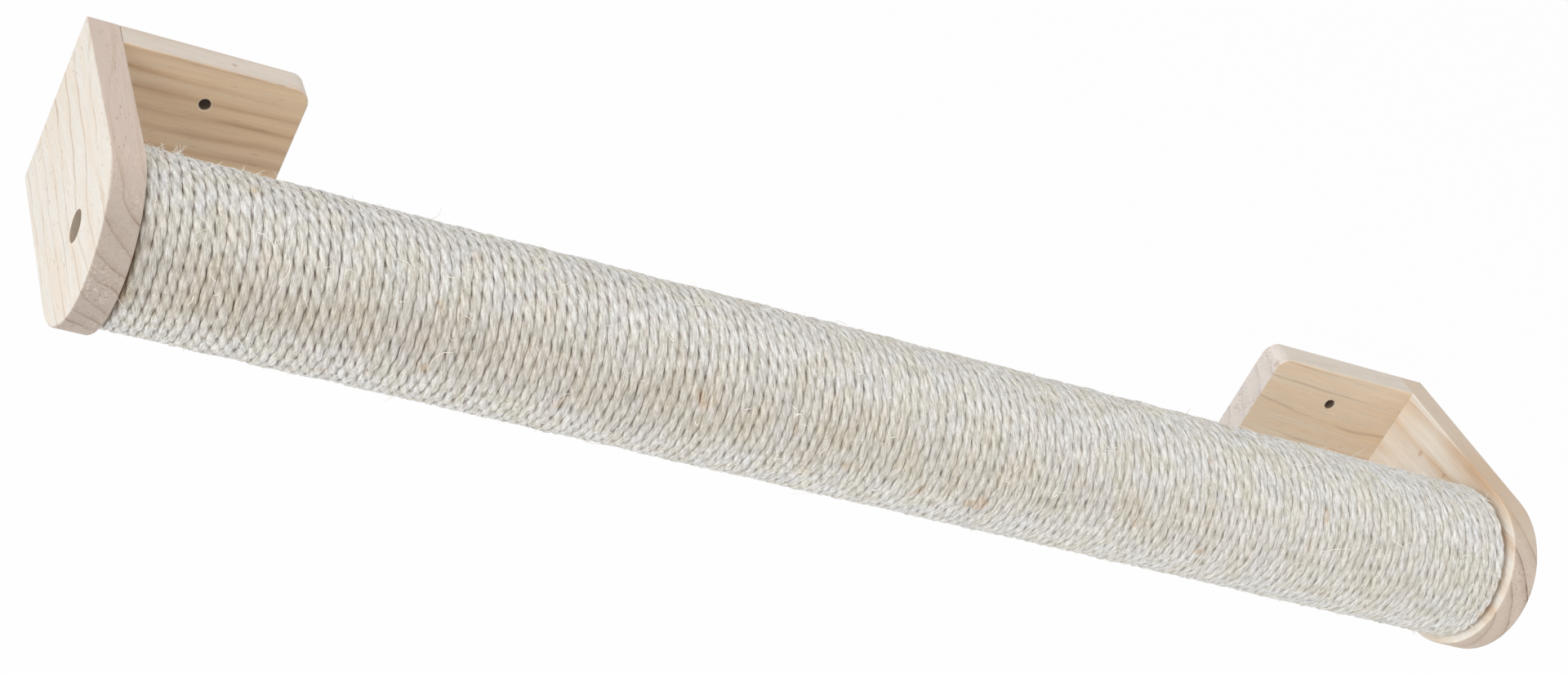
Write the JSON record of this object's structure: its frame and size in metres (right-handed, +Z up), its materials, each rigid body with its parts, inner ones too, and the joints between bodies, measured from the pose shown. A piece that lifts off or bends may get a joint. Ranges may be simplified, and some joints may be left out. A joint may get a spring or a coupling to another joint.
{
  "type": "wall-mounted cat scratching post",
  "caption": "Horizontal rope-wound scratching post held off the wall between two wooden L brackets with rounded end boards and drilled wall plates.",
  "frame": {"origin": "on the wall plane, at the centre of the four wall screw holes, level with the post's axis", "axes": "+X along the post from the left bracket to the right one, +Y into the wall, +Z up"},
  "size_m": [0.886, 0.175, 0.1],
  "materials": {
    "board_wood": "bare sanded pine",
    "plate_wood": "bare sanded pine",
    "dowel_wood": "plain beech",
    "tube_card": "plain wound card",
    "plug_wood": "turned, unfinished",
    "insert_steel": "zinc plated",
    "fixing_steel": "zinc plated",
    "sisal_rope": "natural twisted sisal fibre"
  },
  "bodies": {
    "root": {"end_board_left": "board_wood", "end_board_right": "board_wood", "wall_plate_left": "plate_wood", "wall_plate_right": "plate_wood", "bracket_dowels_left": "dowel_wood", "bracket_dowels_right": "dowel_wood", "core_tube": "tube_card", "tube_plug_left": "plug_wood", "tube_plug_right": "plug_wood", "threaded_insert_left": "insert_steel", "threaded_insert_right": "insert_steel", "post_bolt_left": "fixing_steel", "post_bolt_right": "fixing_steel", "bolt_washer_left": "fixing_steel", "bolt_washer_right": "fixing_steel", "plug_screws_left": "fixing_steel", "plug_screws_right": "fixing_steel", "rope_turns_left": "sisal_rope", "rope_turns_right": "sisal_rope", "rope_middle": "sisal_rope"}
  },
  "joints": []
}
